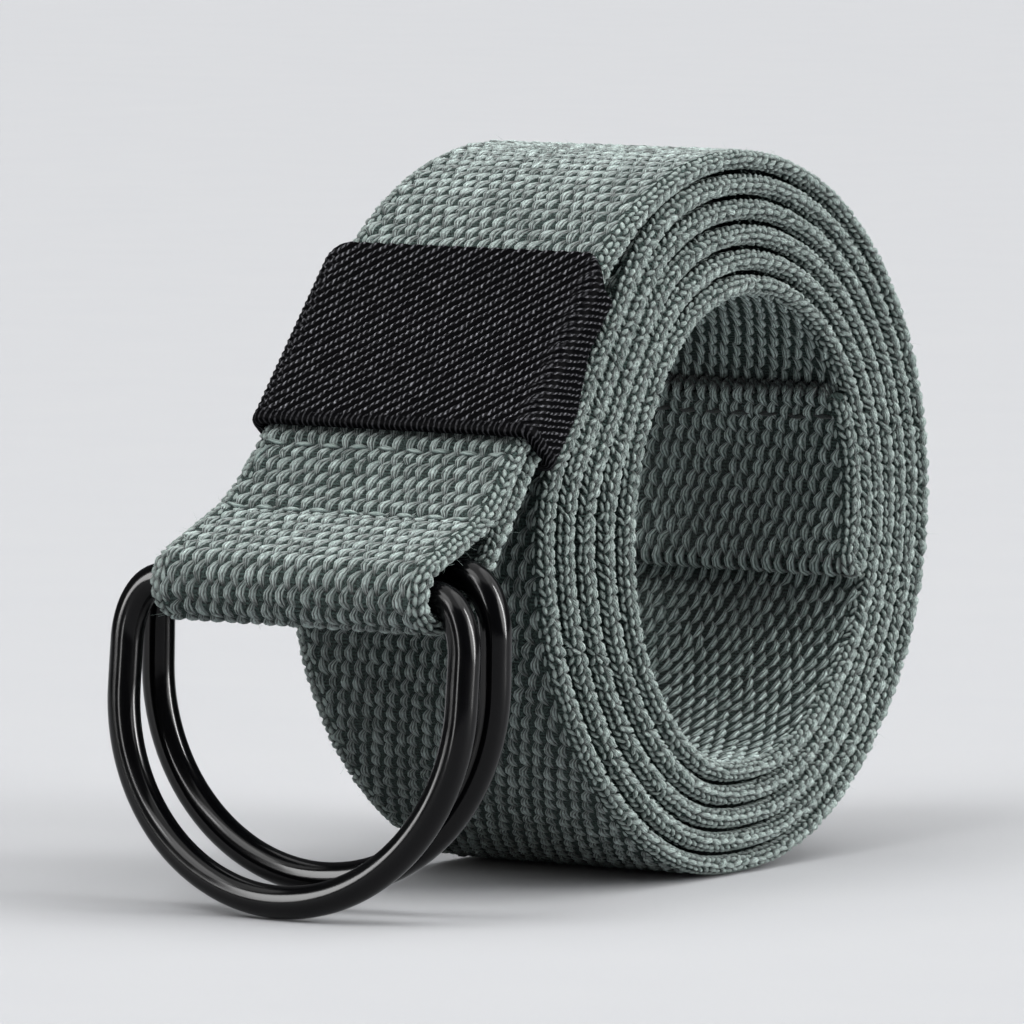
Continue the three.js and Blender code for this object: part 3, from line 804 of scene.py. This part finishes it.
def keeper_sleeve(material):
    """The sleeve's wall: its outer face with the weave's relief, a round lip at each end, and a plain
    inner face, all one closed surface."""
    start, end = KEEPER_DEPTH[0, 0], KEEPER_DEPTH[-1, 0]
    outer = np.linspace(start, end, int((end - start) / KEEPER_STEP))
    lip = np.radians(np.linspace(-60, 60, 5))
    lip_inset = KEEPER_WALL / 2 * (1 + np.sin(lip))
    lip_reach = LIP_REACH * np.cos(lip)
    along = np.concatenate([outer, end + lip_reach, [end, INNER_MIDDLE, start], start - lip_reach])
    inset = np.concatenate([0 * outer, lip_inset, np.full(3, KEEPER_WALL), lip_inset[::-1]])
    share = np.linspace(0, 1, COLUMNS_HALF_ROUND + 1)
    x, out, nx, ny, d = half_sleeve(share[None], along[:, None], inset[:, None])
    whole = [np.concatenate([v, m * v[:, -2:0:-1]], axis=1) for v, m in
             ((x, -1), (out, 1), (nx, -1), (ny, 1), (d, -1))]
    x, out, nx, ny, d = whole
    face = np.clip((KEEPER_WALL - inset) / KEEPER_WALL, 0, 1)[:, None] ** 2
    # The upper edge is pulled down round both corners.
    dropped = np.clip((np.abs(d) - DROP_FROM) / DROP_OVER, 0, 1)
    drop = CORNER_DROP * (0.5 - 0.5 * np.cos(math.pi * dropped))
    a = end - (end - along[:, None]) * (1 - drop / (end - start))
    # The lower edge is wrapped into a low roll, with its threads a little unevenly spaced.
    past_roll = a - (end - EDGE_ROLL)
    rolled = np.clip(past_roll / EDGE_ROLL_START, 0, 1)
    bulge = EDGE_ROLL_HEIGHT * np.sin(math.pi * np.clip(past_roll / EDGE_ROLL, 0, 1)) ** 0.5
    wandered = d + WRAP_WANDER * np.sin(1.3 * d) * np.sin(2.9 * d)
    wraps = WRAP_HEIGHT * np.cos(2 * math.pi * wandered / WRAP_PITCH)
    h = face * ((1 - rolled) * twill_relief(d, a) + rolled * (bulge + wraps))
    x = x + nx * h
    out = out + ny * h
    yz = out[..., None] * STRAP_OUT + a[..., None] * STRAP_ALONG
    points = MM * (np.concatenate([x[..., None], yz], axis=-1) + ROLL_CENTRE)
    rows, columns = x.shape
    uv = np.stack(np.broadcast_arrays(d, a), axis=-1).reshape(-1, 2)
    faces = grid_faces(rows, columns, closed_rows=True, closed_columns=True)
    return mesh_piece("keeper_sleeve", points.reshape(-1, 3), [faces], material, uv,
                      {"rolled": np.broadcast_to(rolled, x.shape).ravel()})


def twill_material():
    """Black twill tape, woven of fine cotton: near black and matt, with a small grey highlight painted on
    the crown of each float, weaker on the sides, and a wrapped edge of short upright threads."""
    material, add, into = new_material("black_twill_tape")
    place = add("ShaderNodeUVMap").outputs[0]
    # The rows wander a little, as in any soft tape pulled tight.
    wander = add("ShaderNodeTexNoise", i0=place, Scale=0.9, Detail=2.0).outputs["Color"]
    shifted = add("ShaderNodeVectorMath", {"operation": "SUBTRACT"}, i0=wander,
                  i1=(0.5, 0.5, 0.5)).outputs[0]
    place = add("ShaderNodeVectorMath", {"operation": "MULTIPLY_ADD"}, i0=shifted, i1=(0.6, 0.6, 0.0),
                i2=place).outputs[0]
    parts = add("ShaderNodeSeparateXYZ", i0=place)
    out = add("ShaderNodeMath", {"operation": "ABSOLUTE"}, i0=parts.outputs[0]).outputs[0]
    side_place = add("ShaderNodeCombineXYZ", i0=out, i1=parts.outputs[1]).outputs[0]

    def threads(at, across, along):
        """Wave of a row of threads with so many turns per millimetre across and along the tape."""
        turns = add("ShaderNodeVectorMath", {"operation": "DOT_PRODUCT"}, i0=at,
                    i1=(2 * math.pi * across, 2 * math.pi * along, 0)).outputs["Value"]
        return add("ShaderNodeMath", {"operation": "COSINE"}, i0=turns).outputs[0]

    def weave(at, rib, warp, least, most):
        """Crests of the ribs, each broken into short floats where it crosses the warp threads, with
        the height between two floats and on them."""
        crest = add("ShaderNodeMapRange", {"interpolation_type": "SMOOTHSTEP"},
                    i0=threads(at, *rib), i1=0.05, i2=1.0, i3=0.0, i4=1.0).outputs[0]
        floats = add("ShaderNodeMapRange", {"interpolation_type": "SMOOTHSTEP"},
                     i0=threads(at, *warp), i1=-0.35, i2=1.0, i3=least, i4=most).outputs[0]
        return add("ShaderNodeMath", {"operation": "MULTIPLY"}, i0=crest, i1=floats).outputs[0]

    # On the sides the floats rise half as high, and so their painted highlights are half as bright.
    side = add("ShaderNodeMapRange", i0=out, i1=SIDE_FROM, i2=SIDE_TO, i3=0.0, i4=1.0).outputs[0]
    both = add("ShaderNodeMix", {"data_type": "FLOAT"}, i0=side, i2=weave(place, RIB, WARP, 0.06, 1.0),
               i3=weave(side_place, SIDE_RIB, SIDE_WARP, 0.06, 0.5)).outputs[0]
    # The wrapped edge's threads get a faint painted highlight.
    wrap = threads(place, 1 / WRAP_PITCH, 0.12)
    low_wrap = add("ShaderNodeMapRange", i0=wrap, i1=0.2, i2=1.0, i3=0.0, i4=0.16).outputs[0]
    rolled = add("ShaderNodeAttribute", {"attribute_name": "rolled"}).outputs["Fac"]
    height = add("ShaderNodeMix", {"data_type": "FLOAT"}, i0=rolled, i2=both, i3=low_wrap).outputs[0]
    fleck = add("ShaderNodeTexNoise", i0=place, Scale=3.0, Detail=4.0).outputs[0]
    uneven = add("ShaderNodeMapRange", i0=fleck, i1=0.32, i2=0.68, i3=0.1, i4=1.25).outputs[0]
    painted_glint = add("ShaderNodeMath", {"operation": "MULTIPLY"}, i0=height, i1=uneven).outputs[0]
    # The grey is a painted highlight on the crowns of the floats. The tape itself is near black.
    shade = add("ShaderNodeMix", {"data_type": "RGBA"}, i0=painted_glint, i6=colour("#010102"),
                i7=colour("#88888D")).outputs[2]
    bump = add("ShaderNodeBump", i0=1.0, i1=0.0002, Height=height).outputs[0]
    into("Base Color", shade)
    into("Roughness", 0.55)
    into("Specular IOR Level", 0.01)
    into("Normal", bump)
    return material


keeper = keeper_sleeve(twill_material())
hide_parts("keeper")
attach(keeper, "belt")


# The D-rings. Two alike, bent from 4 mm round steel wire with a straight bar, rounded shoulders and a
# half-round bow, and coated in gloss black enamel. They hang side by side from their bars.

WIRE_RADIUS = 2.0
RING_HALF = 24.6
RING_HEIGHT = 37.6
SHOULDER_WIDTH, SHOULDER_HEIGHT = 4.8, 7.5
RING_STEP = 0.6
WIRE_SIDES = 28


def ring_outline():
    """The wire's middle line at even steps: a straight bar, quarter-ellipse shoulders, short straight
    legs and a half circle. Sideways distance and drop below the bar."""
    turn = np.radians(np.linspace(0, 90, 40))
    bow_centre = RING_HEIGHT - RING_HALF
    shoulder = np.stack([RING_HALF - SHOULDER_WIDTH * (1 - np.sin(turn)),
                         SHOULDER_HEIGHT * (1 - np.cos(turn))], 1)
    bow = np.stack([RING_HALF * np.cos(turn), bow_centre + RING_HALF * np.sin(turn)], 1)
    half = np.concatenate([[[0, 0]], shoulder, bow])
    outline = np.concatenate([half, half[-2::-1] * (-1, 1)])
    reach = np.concatenate([[0], np.cumsum(np.linalg.norm(np.diff(outline, axis=0), axis=1))])
    even = np.linspace(0, reach[-1], int(reach[-1] / RING_STEP))[:-1]
    return np.stack([np.interp(even, reach, outline[:, k]) for k in (0, 1)], 1)


def d_ring(name, bar, lean, sideways, material):
    """Round wire carried along the ring's outline, leaning back from the bar by an angle."""
    outline = ring_outline()
    ahead = np.roll(outline, -1, axis=0) - np.roll(outline, 1, axis=0)
    ahead /= np.linalg.norm(ahead, axis=1)[:, None]
    outwards = np.stack([ahead[:, 1], -ahead[:, 0]], 1)
    turn = np.linspace(0, 2 * math.pi, WIRE_SIDES, endpoint=False)[None]
    across = WIRE_RADIUS * np.cos(turn)
    through = WIRE_RADIUS * np.sin(turn)
    x = outline[:, 0, None] + across * outwards[:, 0, None] + sideways
    drop = outline[:, 1, None] + across * outwards[:, 1, None]
    tilt = math.radians(lean)
    y = bar[0] - drop * math.sin(tilt) + through * math.cos(tilt)
    z = bar[1] - drop * math.cos(tilt) - through * math.sin(tilt)
    points = MM * np.stack([x + ROLL_CENTRE[0], y + ROLL_CENTRE[1], z + ROLL_CENTRE[2]], -1)
    faces = grid_faces(*x.shape, closed_rows=True, closed_columns=True)
    return mesh_piece(name, points.reshape(-1, 3), [faces], material)


def enamel_material():
    """Gloss black enamel on steel wire: smooth, with soft wide reflections and a faint waviness."""
    material, add, into = new_material("gloss_black_enamel")
    place = add("ShaderNodeTexCoord").outputs["Object"]
    wavy = add("ShaderNodeTexNoise", i0=place, Scale=260.0, Detail=2.0).outputs[0]
    smear = add("ShaderNodeMapRange", i0=wavy, i1=0.3, i2=0.7, i3=0.13, i4=0.18).outputs[0]
    bump = add("ShaderNodeBump", i0=0.05, i1=0.0001, Height=wavy)
    into("Base Color", colour("#030304"))
    into("Roughness", smear)
    into("Specular IOR Level", 0.16)
    into("Normal", bump.outputs[0])
    return material


enamel = enamel_material()
for node, body, bar, lean, sideways in (
    ("ring_front", "front_ring", BAR_FRONT, 6.0, -1.7),
    ("ring_rear", "rear_ring", BAR_REAR, 1.5, -1.4),
):
    ring = d_ring(node.replace("ring", "d_ring"), bar, lean, sideways, enamel)
    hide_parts(node)
    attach(ring, body)


# The studio. A plain pale grey floor that fills the view, soft light from the upper left, from
# overhead and from the right, and a camera well back with a long lens.

CAMERA_TURN, CAMERA_RISE = math.radians(34), math.radians(5)
CAMERA_DISTANCE = 1.4
CAMERA_LENS = 396.7
AIM_LEFT, AIM_DOWN = 0.01237, 0.00139
right = np.array([math.cos(CAMERA_TURN), math.sin(CAMERA_TURN), 0])
back = np.array([
    math.sin(CAMERA_TURN) * math.cos(CAMERA_RISE),
    -math.cos(CAMERA_TURN) * math.cos(CAMERA_RISE),
    math.sin(CAMERA_RISE),
])
up = np.cross(back, right)
aim = MM * np.array(ROLL_CENTRE) - AIM_LEFT * right - AIM_DOWN * up


def aimed(obj, place, target):
    """Puts a light at a place and turns it towards a target."""
    backwards = np.array(place) - np.array(target)
    backwards = backwards / np.linalg.norm(backwards)
    side = np.cross((0, 0, 1), backwards)
    side = side / np.linalg.norm(side)
    place_and_turn(obj, place, side, np.cross(backwards, side), backwards)


def place_and_turn(obj, place, side, top, backwards):
    """Sets an object's place and its three axes."""
    rows = np.eye(4)
    rows[:3, 0], rows[:3, 1], rows[:3, 2], rows[:3, 3] = side, top, backwards, place
    obj.matrix_world = Matrix(rows.tolist())


camera = bpy.data.objects.new("camera", bpy.data.cameras.new("camera"))
camera.data.lens = CAMERA_LENS
camera.data.sensor_width = 36.0
camera.data.clip_end = 50.0
bpy.context.scene.collection.objects.link(camera)
place_and_turn(camera, aim + CAMERA_DISTANCE * back, right, up, back)
bpy.context.scene.camera = camera

SUNS = (
    # name, direction it comes from to the right, towards the camera and up, strength, spread
    ("upper_left", (-0.65, 0.7, 1.1), 2.1, 36),
    ("overhead", (-0.05, 0.05, 1.3), 2.1, 76),
    ("right_high", (1.0, 0.0, 1.1), 2.1, 60),
    ("right_low", (1.0, 0.4, 0.4), 2.9, 36),
)
STRIP_LIGHTS = (
    # name, metres to the right, towards the camera, up, width, height, watts
    ("left_strip", -0.75, 1.0, 0.35, 0.12, 1.2, 10.0),
    ("left_panel", -1.0, 0.25, 0.45, 0.4, 0.7, 20.0),
    ("right_strip", 1.1, 0.3, 0.45, 0.14, 1.2, 30.0),
)
MIDDLE = (0, 0, 0.04)
level_back = np.array([math.sin(CAMERA_TURN), -math.cos(CAMERA_TURN), 0])


def seen_from_camera(to_right, to_camera, height):
    """Point in metres to the right of the middle of the floor, towards the camera, and up."""
    return to_right * right + to_camera * level_back + np.array([0, 0, height])


def new_light(name, kind, spot, **settings):
    """Light of one kind at a spot, with its settings, turned towards the middle of the belt."""
    data = bpy.data.lights.new(name, kind)
    for key, value in settings.items():
        setattr(data, key, value)
    light = bpy.data.objects.new(name, data)
    bpy.context.scene.collection.objects.link(light)
    aimed(light, spot, MIDDLE)
    return light


for name, source, strength, spread in SUNS:
    new_light(name, "SUN", seen_from_camera(*source), energy=strength, angle=math.radians(spread))
for name, to_right, to_camera, height, width, tall, watts in STRIP_LIGHTS:
    strip = new_light(name, "AREA", seen_from_camera(to_right, to_camera, height), shape="RECTANGLE",
                      size=width, size_y=tall, energy=watts)
    # They only draw the highlights on the enamel, and leave the even light of the rest alone.
    strip.visible_diffuse = False

world = bpy.data.worlds.new("studio")
bpy.context.scene.world = world
world.use_nodes = True
world.node_tree.nodes["Background"].inputs["Color"].default_value = colour("#E9EBEE")
world.node_tree.nodes["Background"].inputs["Strength"].default_value = 0.1

bpy.context.scene.view_settings.view_transform = "Standard"

FLOOR_HALF = 12.0
FLOOR_GAP = 0.0001
# Matt pale grey paint on a smooth board, almost even.
floor_material, add, into = new_material("painted_studio_floor")
place = add("ShaderNodeTexCoord").outputs["Object"]
grain = add("ShaderNodeTexNoise", i0=place, Scale=40.0).outputs[0]
pale = add("ShaderNodeMix", {"data_type": "RGBA"}, i0=grain, i6=colour("#9FA0A3"), i7=colour("#A2A3A5"))
into("Base Color", pale.outputs[2])
into("Roughness", 0.75)
corners = FLOOR_HALF * np.array([(-1, -1, 0), (1, -1, 0), (1, 1, 0), (-1, 1, 0)])
floor = mesh_piece("floor", corners - (0, 0, FLOOR_GAP), [[[0, 1, 2, 3]]], floor_material, smooth=False)
